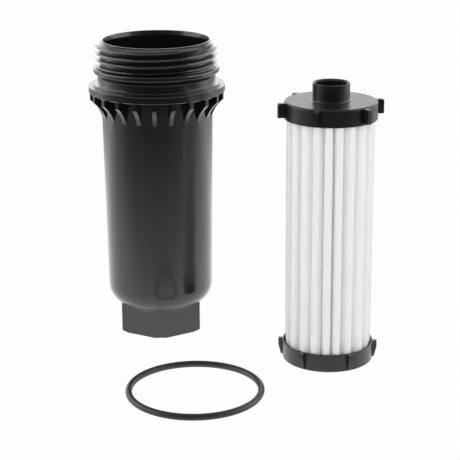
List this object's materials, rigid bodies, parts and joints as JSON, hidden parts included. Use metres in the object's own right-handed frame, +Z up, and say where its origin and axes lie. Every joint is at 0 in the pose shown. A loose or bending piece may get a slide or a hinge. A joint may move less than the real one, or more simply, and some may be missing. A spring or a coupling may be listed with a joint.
{
  "type": "transmission filter",
  "caption": "Screw-in gearbox oil filter taken apart: threaded bowl with a hexagon foot, pleated cartridge with lugged end caps and an outlet neck, and a round rubber seal.",
  "frame": {"origin": "centre of the lower face of the bowl's hexagon, on the floor that all the pieces rest on", "axes": "+Z up along the bowl's axis to its mouth, +X to the right towards the cartridge, -Y to the front towards the seal"},
  "size_m": [0.1289, 0.1412, 0.135],
  "materials": {
    "housing": "black glass-filled plastic, satin as moulded",
    "seal": "black rubber, soft sheen",
    "end_caps": "dark grey plastic, satin",
    "media": "white non-woven felt",
    "centre_tube": "black plastic"
  },
  "bodies": {
    "root": {"housing": "housing", "o_ring": "seal", "top_end_cap": "end_caps", "bottom_end_cap": "end_caps", "pleated_sheet": "media", "centre_tube": "centre_tube"}
  },
  "joints": []
}
